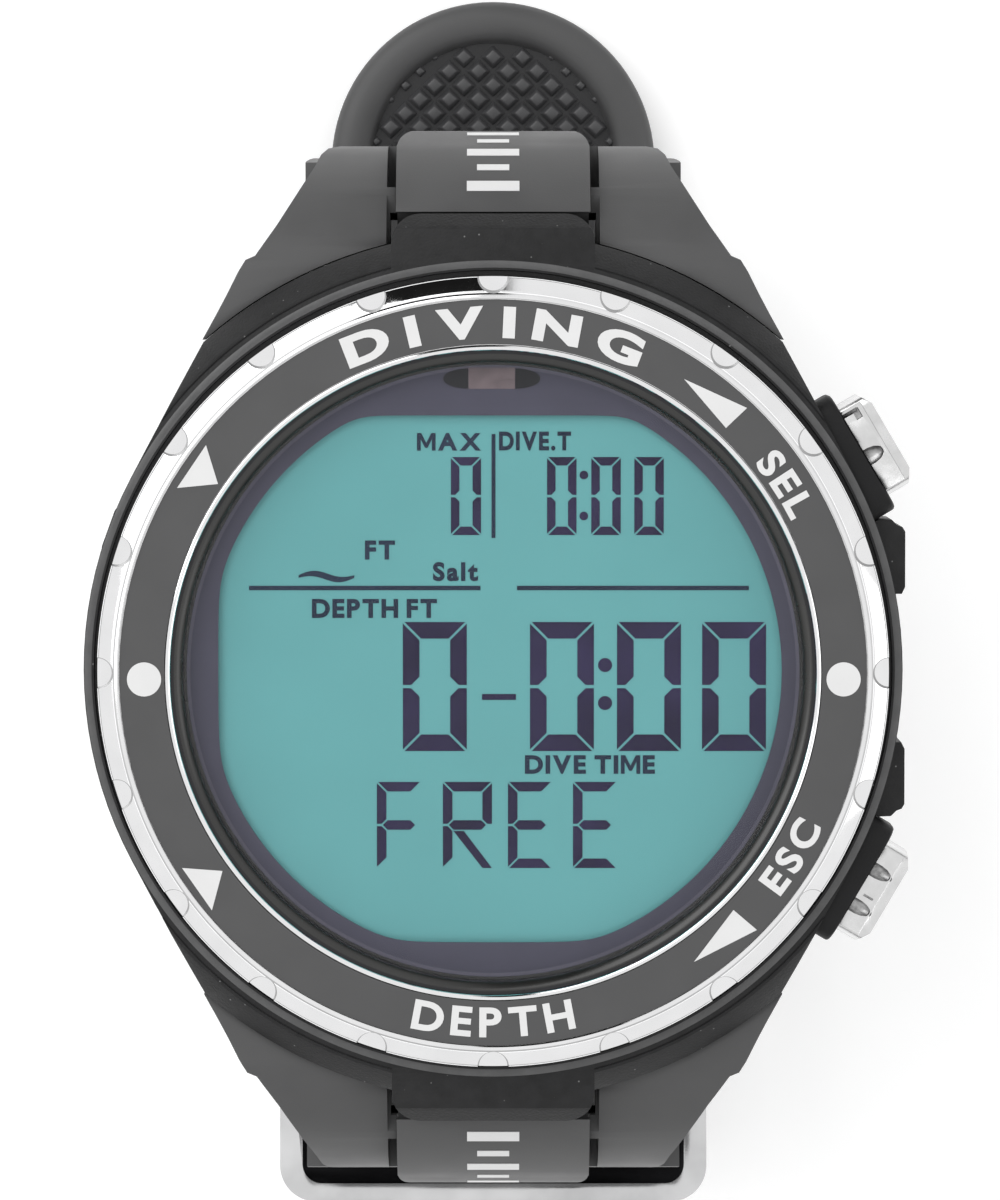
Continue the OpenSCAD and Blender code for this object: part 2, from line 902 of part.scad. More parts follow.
case_body();
back_cover();
back_gasket();
back_screws();
battery_cap();
battery_cap_oring();
bezel_ring();
bezel_insert();
crystal();
crystal_gasket();
display_mask();
lcd_panel();
backlight_panel();
display_chassis();
circuit_board();
side_switches();
piezo_buzzer();
pressure_sensor();
battery_tray();
battery_contact();
coin_battery();
button_guard(1);  // button_guard_upper
button_guard(-1);  // button_guard_lower
button(1);  // button_upper
button(-1);  // button_lower
button_spring(1);  // button_spring_upper
button_spring(-1);  // button_spring_lower
button_oring(1);  // button_oring_upper
button_oring(-1);  // button_oring_lower
button_clip(1);  // button_clip_upper
button_clip(-1);  // button_clip_lower
strap_pin(0);  // strap_pin_12
strap_pin(1);  // strap_pin_6
short_strap();
long_strap();
buckle_frame();
buckle_pin();
buckle_prong();
fixed_keeper();
free_keeper();
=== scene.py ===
"""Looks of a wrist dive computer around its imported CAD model, in metres."""

from math import cos, pi, radians, sin

import bmesh
import bpy
from mathutils import Matrix, Vector


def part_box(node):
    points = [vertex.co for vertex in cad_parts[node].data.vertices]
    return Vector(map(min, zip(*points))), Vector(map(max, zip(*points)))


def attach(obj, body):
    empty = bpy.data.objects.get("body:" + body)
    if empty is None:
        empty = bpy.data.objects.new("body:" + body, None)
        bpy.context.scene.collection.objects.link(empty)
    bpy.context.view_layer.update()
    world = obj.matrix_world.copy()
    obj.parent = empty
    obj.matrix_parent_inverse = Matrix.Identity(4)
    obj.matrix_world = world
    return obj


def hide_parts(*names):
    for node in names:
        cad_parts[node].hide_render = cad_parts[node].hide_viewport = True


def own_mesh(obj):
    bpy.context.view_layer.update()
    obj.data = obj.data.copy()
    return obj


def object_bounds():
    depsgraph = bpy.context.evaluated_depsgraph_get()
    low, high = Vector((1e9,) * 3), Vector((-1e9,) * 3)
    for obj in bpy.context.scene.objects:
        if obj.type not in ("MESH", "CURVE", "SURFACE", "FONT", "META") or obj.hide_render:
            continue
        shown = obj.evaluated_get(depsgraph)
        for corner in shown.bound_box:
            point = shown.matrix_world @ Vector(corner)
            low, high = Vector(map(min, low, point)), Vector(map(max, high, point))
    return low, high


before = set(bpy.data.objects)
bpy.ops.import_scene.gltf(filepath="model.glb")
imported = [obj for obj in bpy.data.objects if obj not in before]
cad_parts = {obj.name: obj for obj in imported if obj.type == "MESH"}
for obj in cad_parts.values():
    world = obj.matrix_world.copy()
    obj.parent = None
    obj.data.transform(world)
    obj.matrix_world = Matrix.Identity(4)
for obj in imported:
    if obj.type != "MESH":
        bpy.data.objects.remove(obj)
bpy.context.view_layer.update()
MM = 0.001


# ---- places, in millimetres, from the CAD nodes ---------------------------------------


def top_of(node):
    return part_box(node)[1].z / MM


INSERT_TOP = top_of("bezel_insert")
LCD_TOP = top_of("lcd_panel")
MASK_TOP = top_of("display_mask")
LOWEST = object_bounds()[0].z


# ---- materials ------------------------------------------------------------------------

NOISE_LOW, NOISE_HIGH = 0.3, 0.7
SPECK_SCALE = 900
SPECK_OUT, SPECK_IN = 0.07, 0.03
SPECK_COLOUR = (0.35, 0.35, 0.35, 1)
RELIEF = 0.00006


def shader(name, color, rough, tone=0.1, tone_scale=350.0, grain=0.0, grain_scale=7000.0,
           rough_swing=0.06, stretch=(1, 1, 1), specks=0.0, **sockets):
    """A Principled surface whose colour, roughness and relief come from noise."""
    material = bpy.data.materials.new(name)
    material.use_nodes = True
    tree = material.node_tree
    nodes, links = tree.nodes, tree.links
    bsdf = nodes["Principled BSDF"]
    for key, value in sockets.items():
        bsdf.inputs[key.replace("_", " ")].default_value = value
    place = nodes.new("ShaderNodeTexCoord")
    spread = nodes.new("ShaderNodeMapping")
    spread.inputs["Scale"].default_value = stretch
    links.new(place.outputs["Object"], spread.inputs["Vector"])

    cloud = nodes.new("ShaderNodeTexNoise")
    cloud.inputs["Scale"].default_value = tone_scale
    cloud.inputs["Detail"].default_value = 5
    links.new(spread.outputs["Vector"], cloud.inputs["Vector"])
    ramp = nodes.new("ShaderNodeValToRGB")
    for stop, gain in zip(ramp.color_ramp.elements, (1 - tone, 1 + tone)):
        stop.color = [min(1, gain * c) for c in color] + [1]
    ramp.color_ramp.elements[0].position = NOISE_LOW
    ramp.color_ramp.elements[1].position = NOISE_HIGH
    links.new(cloud.outputs["Fac"], ramp.inputs["Fac"])
    colour_out = ramp.outputs["Color"]

    gloss = nodes.new("ShaderNodeMapRange")
    gloss.inputs["From Min"].default_value = NOISE_LOW
    gloss.inputs["From Max"].default_value = NOISE_HIGH
    gloss.inputs["To Min"].default_value = max(0, rough - rough_swing)
    gloss.inputs["To Max"].default_value = rough + rough_swing
    links.new(cloud.outputs["Fac"], gloss.inputs["Value"])
    links.new(gloss.outputs["Result"], bsdf.inputs["Roughness"])

    if specks:
        cell = nodes.new("ShaderNodeTexVoronoi")
        cell.inputs["Scale"].default_value = SPECK_SCALE
        links.new(place.outputs["Object"], cell.inputs["Vector"])
        dot = nodes.new("ShaderNodeMapRange")
        dot.inputs["From Min"].default_value = SPECK_OUT
        dot.inputs["From Max"].default_value = SPECK_IN
        dot.inputs["To Max"].default_value = specks
        links.new(cell.outputs["Distance"], dot.inputs["Value"])
        blend = nodes.new("ShaderNodeMix")
        blend.data_type = "RGBA"
        blend.inputs["B"].default_value = SPECK_COLOUR
        links.new(dot.outputs["Result"], blend.inputs["Factor"])
        links.new(colour_out, blend.inputs["A"])
        colour_out = blend.outputs["Result"]
    links.new(colour_out, bsdf.inputs["Base Color"])

    if grain:
        fine = nodes.new("ShaderNodeTexNoise")
        fine.inputs["Scale"].default_value = grain_scale
        fine.inputs["Detail"].default_value = 3
        links.new(spread.outputs["Vector"], fine.inputs["Vector"])
        bump = nodes.new("ShaderNodeBump")
        bump.inputs["Strength"].default_value = grain
        bump.inputs["Distance"].default_value = RELIEF
        links.new(fine.outputs["Fac"], bump.inputs["Height"])
        links.new(bump.outputs["Normal"], bsdf.inputs["Normal"])
    return material


STEEL_TONE = (0.8, 0.8, 0.805)
CASE_BLACK = shader("case_black", (0.012, 0.012, 0.0125), 0.46, tone=0.3, tone_scale=900,
                    grain=0.55, grain_scale=5200, specks=0.5, Specular_IOR_Level=0.26)
GUARD_BLACK = shader("guard_black", (0.008, 0.008, 0.0085), 0.5, tone=0.25, grain=0.4,
                     grain_scale=6000, Specular_IOR_Level=0.22)
STEEL = shader("polished_steel", STEEL_TONE, 0.075, tone=0.03, grain=0.02, grain_scale=1800,
               rough_swing=0.025, Metallic=1.0)
CAST_STEEL = shader("cast_steel", (0.66, 0.66, 0.66), 0.24, tone=0.07, tone_scale=700, grain=0.16,
                    grain_scale=1500, rough_swing=0.06, Metallic=1.0)
# dark steel as painted shade: the bezel's notch walls and the strap pins
STEEL_PAINTED_SHADE = shader("steel_painted_shade", (0.09, 0.09, 0.09), 0.2, tone=0.1, grain=0.05, Metallic=1.0)
# darker speckled cast steel for the caps' grooves: painted shade
CAST_PAINTED_SHADE = shader("cast_painted_shade", (0.36, 0.36, 0.36), 0.3, tone=0.5, tone_scale=1500, grain=0.3,
                   grain_scale=2500, Metallic=1.0)
BUCKLE_STEEL = shader("buckle_steel", (0.6, 0.6, 0.605), 0.12, tone=0.22, tone_scale=110,
                      grain=0.02, Metallic=1.0)
# near-black steel for the buckle's insides: painted shade and a painted reflection of the strap
BUCKLE_SHADE_AND_REFLECTION = shader("buckle_painted_shade_reflection", (0.016, 0.016, 0.017), 0.14, tone=0.5, tone_scale=60,
                     Metallic=1.0)
INSERT_GREY = shader("insert_grey", (0.052, 0.052, 0.053), 0.36, tone=0.04, tone_scale=250,
                     grain=0.05, Specular_IOR_Level=0.6)
PRINT_WHITE = shader("print_white", (0.66, 0.66, 0.66), 0.4, tone=0.02, grain=0.08,
                     Specular_IOR_Level=0.35)
RUBBER = shader("strap_rubber", (0.062, 0.062, 0.063), 0.52, tone=0.07, tone_scale=240, grain=0.16,
                grain_scale=9000, Specular_IOR_Level=0.5)
# darker rubber for the tip's sunk floor: painted shade in the recess
RUBBER_PAINTED_SHADE = shader("strap_rubber_painted_shade", (0.016, 0.016, 0.017), 0.5, tone=0.1, tone_scale=500,
                     grain=0.2, grain_scale=9000, Specular_IOR_Level=0.4)
DIAMOND_RUBBER = shader("diamond_rubber", (0.048, 0.048, 0.05), 0.42, tone=0.1, tone_scale=500,
                        grain=0.12, grain_scale=9000, Specular_IOR_Level=0.5)
# lighter grey for the case's top ridge: a painted highlight on its crest
RIDGE_SHEEN = shader("ridge_painted_sheen", (0.075, 0.075, 0.076), 0.4, tone=0.16, tone_scale=700, grain=0.3,
                    grain_scale=6000, Specular_IOR_Level=0.5)
GASKET = shader("gasket_black", (0.007, 0.007, 0.009), 0.32, tone=0.2, grain=0.1,
                Specular_IOR_Level=0.4)
MASK = shader("mask_plum", (0.074, 0.072, 0.105), 0.42, tone=0.06, tone_scale=400, grain=0.05,
              Specular_IOR_Level=0.3)
MASK_LIP_HIGHLIGHT = shader("mask_lip_painted_highlight", (0.13, 0.128, 0.17), 0.4, tone=0.06, tone_scale=400, grain=0.05,
                  Specular_IOR_Level=0.3)
GLASS_EDGE = shader("glass_edge", (0.014, 0.014, 0.013), 0.24, tone=0.25, tone_scale=160,
                    grain=0.06, Specular_IOR_Level=0.6)
LCD = shader("lcd_teal", (0.14, 0.42, 0.43), 0.38, tone=0.035, tone_scale=70, grain=0.05,
             grain_scale=12000, Specular_IOR_Level=0.3)
LCD_INK = shader("lcd_ink", (0.026, 0.02, 0.058), 0.35, tone=0.35, tone_scale=190, grain=0.04,
                 Specular_IOR_Level=0.2)
LCD_TEXT = shader("lcd_text", (0.02, 0.032, 0.06), 0.35, tone=0.2, tone_scale=190, grain=0.04,
                  Specular_IOR_Level=0.2)
MASK_WINDOW = shader("mask_window", (0.17, 0.13, 0.14), 0.35, tone=0.25, tone_scale=900, grain=0.1)
GLASS = shader("crystal_glass", (0.02, 0.024, 0.035), 0.03, tone=0.1, grain=0.01,
               rough_swing=0.01, Alpha=0.07, Specular_IOR_Level=1.0)
LIGHT_GUIDE = shader("light_guide", (0.75, 0.8, 0.78), 0.3, tone=0.04, grain=0.05)
CHASSIS = shader("chassis_plastic", (0.6, 0.6, 0.56), 0.5, tone=0.05, grain=0.2)
BOARD = shader("board_green", (0.012, 0.09, 0.035), 0.35, tone=0.3, tone_scale=900, grain=0.3,
               grain_scale=2500)
SWITCHES = shader("switch_black", (0.03, 0.03, 0.035), 0.45, tone=0.1, grain=0.15)
BRASS = shader("brass", (0.75, 0.53, 0.22), 0.3, tone=0.08, grain=0.1, Metallic=1.0)
SENSOR = shader("sensor_steel", (0.6, 0.6, 0.61), 0.28, tone=0.06, grain=0.12, Metallic=1.0)
COVER = shader("brushed_cover", (0.5, 0.5, 0.51), 0.34, tone=0.12, tone_scale=500, grain=0.35,
               grain_scale=2500, stretch=(0.06, 1, 1), Metallic=1.0)
SCREW = shader("screw_steel", (0.62, 0.62, 0.63), 0.26, tone=0.06, grain=0.12, Metallic=1.0)
SPRING = shader("spring_wire", (0.55, 0.55, 0.56), 0.3, tone=0.08, grain=0.1, Metallic=1.0)

NODE_MATERIAL = {
    "back_gasket": GASKET, "back_screws": SCREW, "battery_cap_oring": GASKET,
    "crystal_gasket": GASKET, "display_mask": MASK, "lcd_panel": LCD,
    "backlight_panel": LIGHT_GUIDE, "display_chassis": CHASSIS, "circuit_board": BOARD,
    "side_switches": SWITCHES, "piezo_buzzer": BRASS, "pressure_sensor": SENSOR,
    "battery_tray": CHASSIS, "battery_contact": BRASS, "coin_battery": SENSOR,
    "button_spring_upper": SPRING, "button_spring_lower": SPRING,
    "button_oring_upper": GASKET, "button_oring_lower": GASKET,
    "button_clip_upper": SPRING, "button_clip_lower": SPRING,
    # the strap pins get the dark steel: painted shade on what are bright steel pins
    "strap_pin_12": STEEL_PAINTED_SHADE, "strap_pin_6": STEEL_PAINTED_SHADE, "buckle_pin": SCREW,
    "crystal": GLASS, "back_cover": COVER, "battery_cap": COVER,
    "bezel_insert": INSERT_GREY, "bezel_ring": STEEL,
}
for node_name, material in NODE_MATERIAL.items():
    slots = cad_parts[node_name].data.materials
    slots.clear()
    slots.append(material)


# ---- mesh helpers ---------------------------------------------------------------------


def to_object(name, bm, material, smooth_angle=35):
    """Turns a bmesh in metres into an object with smooth faces and sharp corners."""
    mesh = bpy.data.meshes.new(name)
    bmesh.ops.recalc_face_normals(bm, faces=bm.faces)
    for face in bm.faces:
        face.smooth = True
    bm.to_mesh(mesh)
    bm.free()
    mesh.set_sharp_from_angle(angle=radians(smooth_angle))
    mesh.materials.append(material)
    piece = bpy.data.objects.new(name, mesh)
    bpy.context.scene.collection.objects.link(piece)
    return piece


def settle(piece, body, slot, *nodes):
    """Lets a piece ride on a body and stand for CAD nodes by hiding them; slot is not used."""
    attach(piece, body)
    if nodes:
        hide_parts(*nodes)
    return piece


def bake_modifiers(piece):
    """Applies the piece's modifiers to its mesh."""
    bpy.context.view_layer.update()
    shown = piece.evaluated_get(bpy.context.evaluated_depsgraph_get())
    mesh = bpy.data.meshes.new_from_object(shown)
    piece.modifiers.clear()
    piece.data = mesh
    return piece


def cad_copy(node):
    """A clean bmesh of a CAD node, with its flat faces joined up."""
    bm = bmesh.new()
    bm.from_mesh(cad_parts[node].data)
    bmesh.ops.remove_doubles(bm, verts=bm.verts, dist=3e-6)
    bmesh.ops.dissolve_limit(bm, angle_limit=radians(0.6), verts=bm.verts, edges=bm.edges)
    return bm


def rounded(piece, width, segments=2, angle=30):
    """Rounds the piece's sharp edges by a width in millimetres."""
    bevel = piece.modifiers.new("edges", "BEVEL")
    bevel.width = width * MM
    bevel.segments = segments
    bevel.limit_method = "ANGLE"
    bevel.angle_limit = radians(angle)
    bevel.use_clamp_overlap = True
    bevel.miter_outer = "MITER_ARC"
    bake_modifiers(piece)
    piece.data.set_sharp_from_angle(angle=radians(50))
    return piece


def softened(node, body, slot, material, width, segments=2, angle=30):
    """A CAD node again, with round edges."""
    piece = to_object(node + "_soft", cad_copy(node), material)
    rounded(piece, width, segments, angle)
    return settle(piece, body, slot, node)


def lathe(bm, profile, segments=288):
    """Sweeps a closed profile of (radius, height) in millimetres round Z."""
    rings = []
    for i in range(segments):
        a = 2 * pi * i / segments
        rings.append([bm.verts.new((r * MM * cos(a), r * MM * sin(a), z * MM)) for r, z in profile])
    for i in range(segments):
        one, two = rings[i], rings[(i + 1) % segments]
        for k in range(len(profile)):
            n = (k + 1) % len(profile)
            bm.faces.new((one[k], two[k], two[n], one[n]))


def plate(bm, outline, z0, z1):
    """A flat plate from an outline of (x, y) in millimetres."""
    low = [bm.verts.new((x * MM, y * MM, z0 * MM)) for x, y in outline]
    high = [bm.verts.new((x * MM, y * MM, z1 * MM)) for x, y in outline]
    bm.faces.new(low[::-1])
    bm.faces.new(high)
    for i in range(len(outline)):
        k = (i + 1) % len(outline)
        bm.faces.new((low[i], low[k], high[k], high[i]))


def oval(x, y, r, steps=40):
    """The points of a circle round (x, y)."""
    turns = [2 * pi * i / steps for i in range(steps)]
    return [(x + r * cos(a), y + r * sin(a)) for a in turns]


def block(bm, low, high):
    """A box between two corners in millimetres."""
    (x0, y0, z0), (x1, y1, z1) = low, high
    plate(bm, [(x0, y0), (x1, y0), (x1, y1), (x0, y1)], z0, z1)


def cut(piece, tool_bm, materials):
    """Subtracts closed shapes from a piece and gives the cut faces the shapes' materials."""
    tool = to_object(piece.name + "_tool", tool_bm, materials[0])
    for extra in materials[1:]:
        tool.data.materials.append(extra)
    change = piece.modifiers.new("cut", "BOOLEAN")
    change.operation = "DIFFERENCE"
    change.solver = "EXACT"
    change.use_self = True
    change.material_mode = "TRANSFER"
    change.object = tool
    bake_modifiers(piece)
    bpy.data.objects.remove(tool)
    return piece


M_OUTLINE = ((0, 0), (0, 1), (0.23, 1), (0.5, 0.44), (0.77, 1), (1, 1), (1, 0), (0.8, 0),
             (0.8, 0.64), (0.57, 0.16), (0.43, 0.16), (0.2, 0.64), (0.2, 0))


def glyphs(letter, bold=0.0):
    """The flat mesh of one letter in the built-in lettering, with its box."""
    if letter == "M":
        caps = glyphs("H", bold)[1]
        tall, wide = caps[3] - caps[1], 1.16 * (caps[2] - caps[0])
        mesh = bpy.data.meshes.new("letter")
        spots = [(wide * x, caps[1] + tall * y, 0) for x, y in M_OUTLINE]
        mesh.from_pydata(spots, [], [tuple(range(len(spots)))[::-1]])
    else:
        curve = bpy.data.curves.new("letter", "FONT")
        curve.body = letter
        curve.offset = bold
        curve.resolution_u = 6
        holder = bpy.data.objects.new("letter", curve)
        bpy.context.scene.collection.objects.link(holder)
        bpy.context.view_layer.update()
        shown = holder.evaluated_get(bpy.context.evaluated_depsgraph_get())
        mesh = bpy.data.meshes.new_from_object(shown)
        bpy.data.objects.remove(holder)
        bpy.data.curves.remove(curve)
    xs = [v.co.x for v in mesh.vertices]
    ys = [v.co.y for v in mesh.vertices]
    return mesh, (min(xs), min(ys), max(xs), max(ys))


def raise_flat(bm, start, z0, z1):
    """Gives the flat faces added since start a thickness from z0 to z1 in millimetres."""
    faces = bm.faces[start:]
    made = bmesh.ops.extrude_face_region(bm, geom=faces)
    for v in {v for f in faces for v in f.verts}:
        v.co.z = z0 * MM
    for v in (g for g in made["geom"] if isinstance(g, bmesh.types.BMVert)):
        v.co.z = z1 * MM


def add_mesh(bm, mesh, place):
    """Adds a flat mesh to bm through a function of its (x, y)."""
    bm.faces.ensure_lookup_table()
    start = len(bm.faces)
    made = [bm.verts.new(place(v.co.x, v.co.y)) for v in mesh.vertices]
    for polygon in mesh.polygons:
        bm.faces.new([made[i] for i in polygon.vertices])
    bm.faces.ensure_lookup_table()
    return start


def word_in_box(bm, text, box, z0, z1, bold, gap=0.1):
    """Fits a word into a box (x0, y0, x1, y1) in millimetres."""
    x0, y0, x1, y1 = box
    letters = []
    at = 0.0
    for letter in text:
        if letter == " ":
            at += 0.24
            continue
        mesh, (u0, v0, u1, v1) = glyphs(letter, bold)
        letters.append((mesh, at - u0, v0, v1))
        at += u1 - u0 + gap
    wide = (x1 - x0) / (at - gap)
    low = min(v0 for mesh, shift, v0, v1 in letters)
    tall = (y1 - y0) / (max(v1 for mesh, shift, v0, v1 in letters) - low)
    for mesh, shift, v0, v1 in letters:

        def place(u, v, shift=shift):
            return ((x0 + (u + shift) * wide) * MM, (y0 + (v - low) * tall) * MM, z0 * MM)

        start = add_mesh(bm, mesh, place)
        raise_flat(bm, start, z0, z1)


def word_on_arc(bm, text, radius, middle, height, z0, z1, gap=0.3, inward=False, bold=0.035,
                widen=1.0):
    """Sets a word on an arc, in millimetres and degrees, with its tops out or in."""
    letters = []
    caps = glyphs("H", bold)[1]
    scale = height / (caps[3] - caps[1])
    for letter in text:
        mesh, (u0, v0, u1, v1) = glyphs(letter, bold)
        letters.append((mesh, u0, (u1 - u0) * scale * widen))
    total = sum(width for mesh, left, width in letters) + gap * (len(letters) - 1)
    turn = -1 if not inward else 1
    at = -total / 2
    middle_v = (caps[1] + caps[3]) / 2
    for mesh, u0, width in letters:
        angle = radians(middle) + turn * (at + width / 2) / radius
        upright = angle - pi / 2 if not inward else angle + pi / 2
        centre = Vector((radius * cos(angle), radius * sin(angle)))

        def place(u, v, c=centre, t=upright, left=u0, w=width):
            x = (u - left) * scale * widen - w / 2
            y = (v - middle_v) * scale
            along = c.x + x * cos(t) - y * sin(t)
            across = c.y + x * sin(t) + y * cos(t)
            return (along * MM, across * MM, z0 * MM)

        start = add_mesh(bm, mesh, place)
        raise_flat(bm, start, z0, z1)
        at += width + gap


# ---- case, bezel and insert -----------------------------------------------------------

softened("case_body", "case", "case_plastic", CASE_BLACK, 0.42, 3)
# a ring on the case's top edge, lighter than the black case: a painted highlight on the ridge's
# crest
RIDGE = (29.62, 30.15)
RIDGE_TOP = 12.45
bm = bmesh.new()
lathe(bm, [(RIDGE[0], RIDGE_TOP - 0.2), (RIDGE[1], RIDGE_TOP - 0.2), (RIDGE[1], RIDGE_TOP),
           (RIDGE[1] - 0.07, RIDGE_TOP + 0.03), (RIDGE[0] + 0.07, RIDGE_TOP + 0.03),
           (RIDGE[0], RIDGE_TOP)])
settle(to_object("case_ridge", bm, RIDGE_SHEEN, 60), "case", "case_plastic")
for side in ("upper", "lower"):
    softened("button_guard_" + side, "case", "guard_rubber", GUARD_BLACK, 0.45, 3)

BEZEL_R = 29.0
BORE_R = 23.6
SEAT_OUT_R = 27.36
SEAT_IN_R = 24.0
SEAT_Z = 16.2
bm = bmesh.new()
CROWN = [(29.0, 15.85), (28.98, 15.93), (28.93, 16.0), (28.85, 16.06), (27.98, 16.56)]
lathe(bm, [(BORE_R, 12), (28.75, 12), (BEZEL_R, 12.25)] + CROWN +
      [(27.92, 16.58), (27.88, 16.58), (27.85, 16.72), (27.78, 16.83), (27.66, 16.92),
       (27.52, 16.95), (27.42, 16.93), (SEAT_OUT_R, 16.88), (SEAT_OUT_R, SEAT_Z),
       (SEAT_IN_R, SEAT_Z), (SEAT_IN_R, 16.72), (23.95, 16.8), (23.86, 16.84), (23.74, 16.84),
       (23.65, 16.8), (BORE_R, 16.72)], 360)
bezel = to_object("bezel_turned", bm, STEEL)
NOTCHES = 20
NOTCH_R = 1.05
NOTCH_FLOOR = 15.3
NOTCH_FLARE = 0.14
NOTCH_TOP = 20
tool = bmesh.new()
for i in range(NOTCHES):
    a = radians(90 + 360 * i / NOTCHES)
    x, y = BEZEL_R * cos(a), BEZEL_R * sin(a)
    wide = NOTCH_R + NOTCH_FLARE * (NOTCH_TOP - NOTCH_FLOOR)
    loops = [[tool.verts.new((u * MM, v * MM, z * MM)) for u, v in oval(x, y, r, steps=36)]
             for r, z in ((NOTCH_R, NOTCH_FLOOR), (wide, NOTCH_TOP))]
    tool.faces.new(loops[0][::-1]).material_index = 1
    tool.faces.new(loops[1])
    for k in range(36):
        n = (k + 1) % 36
        tool.faces.new((loops[0][k], loops[0][n], loops[1][n], loops[1][k]))
# the notch walls take the dark steel as painted shade; the notch floors keep the polished steel
cut(bezel, tool, (STEEL_PAINTED_SHADE, STEEL))
bezel.data.set_sharp_from_angle(angle=radians(20))
settle(bezel, "case", "polished_steel", "bezel_ring")

# printed marks on the insert
PRINT_LOW = INSERT_TOP - 0.01
PRINT_HIGH = INSERT_TOP + 0.05
bm = bmesh.new()
for x, y in ((-25.5, -0.42), (25.6, -0.42)):
    plate(bm, oval(x, y, 1.25), PRINT_LOW, PRINT_HIGH)
TRIANGLES = (
    ((-20.93, 16.7), (-23.05, 13.57), (-20.06, 13.86)),
    ((-22.76, -14.24), (-20.58, -17.36), (-19.8, -14.46)),
    ((13.91, 21.51), (16.97, 17.94), (18.5, 19.4)),
    ((17.59, -17.33), (14.7, -21.15), (19.31, -18.8)),
)
for corners in TRIANGLES:
    plate(bm, corners, PRINT_LOW, PRINT_HIGH)
word_on_arc(bm, "DIVING", 25.65, 90, 2.3, PRINT_LOW, PRINT_HIGH, gap=1.35, widen=1.6, bold=0.045)
word_on_arc(bm, "DEPTH", 25.6, 270, 2.2, PRINT_LOW, PRINT_HIGH, gap=0.55, widen=1.12, inward=True,
            bold=0.03)
word_on_arc(bm, "SEL", 25.45, 33, 2.05, PRINT_LOW, PRINT_HIGH, gap=0.45, widen=1.1, bold=0.035)
word_on_arc(bm, "ESC", 25.6, -31.5, 2.05, PRINT_LOW, PRINT_HIGH, gap=0.45, widen=1.1, inward=True,
            bold=0.035)
settle(to_object("insert_marks", bm, PRINT_WHITE), "case", "insert_print")

# ---- display --------------------------------------------------------------------------

INK_LOW = LCD_TOP - 0.01
INK_HIGH = LCD_TOP + 0.03


def segments(bm, box, thick, lit, gap=0.09):
    """Lit bars of a seven-bar figure in a box, with a slanted leg for k."""
    x0, y0, x1, y1 = box
    ym = (y0 + y1) / 2
    t, h, g = thick, thick / 2, gap
    bars = {
        "a": [(x0 + g, y1), (x0 + t + g, y1 - t), (x1 - t - g, y1 - t), (x1 - g, y1)],
        "d": [(x0 + g, y0), (x1 - g, y0), (x1 - t - g, y0 + t), (x0 + t + g, y0 + t)],
        "f": [(x0, y1 - g), (x0, ym + g), (x0 + h, ym + g), (x0 + t, ym + h + g),
              (x0 + t, y1 - t - g)],
        "b": [(x1, y1 - g), (x1 - t, y1 - t - g), (x1 - t, ym + h + g), (x1 - h, ym + g),
              (x1, ym + g)],
        "e": [(x0, y0 + g), (x0 + t, y0 + t + g), (x0 + t, ym - h - g), (x0 + h, ym - g),
              (x0, ym - g)],
        "c": [(x1, y0 + g), (x1, ym - g), (x1 - h, ym - g), (x1 - t, ym - h - g),
              (x1 - t, y0 + t + g)],
        "g": [(x0 + h + g, ym), (x0 + t + g, ym - h), (x1 - t - g, ym - h), (x1 - h - g, ym),
              (x1 - t - g, ym + h), (x0 + t + g, ym + h)],
        "k": [(x0 + 1.1 * t, ym - h - g), (x1 - t, y0), (x1, y0), (x0 + 2.2 * t, ym - h - g)],
    }
    for name in lit:
        plate(bm, bars[name], INK_LOW, INK_HIGH)


bm = bmesh.new()
ZERO = "abcdef"
LOWER_WORD = ((-8.56, -5.31, "aefg"), (-3.7, -0.09, "abefgk"), (1.09, 4.33, "adefg"),
              (5.88, 9.12, "adefg"))
COLONS = ((6.66, 14.41, 0.32), (6.66, 11.4, 0.32), (8.23, 0.43, 0.52), (8.23, -2.37, 0.52))
segments(bm, (-3.1, 10.0, -0.89, 15.73), 0.62, ZERO)
for x0 in (3.96, 7.21, 10.37):
    segments(bm, (x0, 10.0, x0 + 2.16, 15.73), 0.62, ZERO)
for x0 in (-6.64, 2.71, 9.11, 15.37):
    segments(bm, (x0, -5.91, x0 + 4.7, 3.6), 1.22, ZERO, 0.12)
for x0, x1, lit in LOWER_WORD:
    segments(bm, (x0, -14.55, x1, -8.19), 0.7, lit)
for x, y, r in COLONS:
    plate(bm, oval(x, y, r, steps=24), INK_LOW, INK_HIGH)
block(bm, (-0.82, -2.14, INK_LOW), (1.68, -1.7, INK_HIGH))
settle(to_object("lcd_figures", bm, LCD_INK), "case", "lcd")

LABEL_BOLD = 0.042
LABELS = (
    ("MAX", (-5.59, 16.2, -0.89, 17.5)), ("DIVE.T", (0.43, 16.2, 5.72, 17.6)),
    ("FT", (-9.42, 8.2, -7.21, 9.6)), ("Salt", (-4.42, 6.6, -1.11, 8.02)),
    ("DEPTH FT", (-13.32, 3.9, -4.13, 5.3)), ("DIVE TIME", (2.34, -7.6, 11.91, -6.22)),
)
RULES = ((-17.94, 5.94, -0.93, 6.27), (1.75, 5.94, 18.8, 6.27), (-0.12, 9.78, 0.17, 17.42))
bm = bmesh.new()
for text, box in LABELS:
    word_in_box(bm, text, box, INK_LOW, INK_HIGH, LABEL_BOLD)
for x0, y0, x1, y1 in RULES:
    block(bm, (x0, y0, INK_LOW), (x1, y1, INK_HIGH))
WAVE = (-14.3, -10.2)
WAVE_Y, WAVE_SWING, WAVE_STEPS = 6.95, 0.22, 28
wave = []
for i in range(WAVE_STEPS + 1):
    u = i / WAVE_STEPS
    x = WAVE[0] + (WAVE[1] - WAVE[0]) * u
    wave.append((x, WAVE_Y + WAVE_SWING * sin(2 * pi * u), 0.1 + 0.14 * sin(pi * u)))
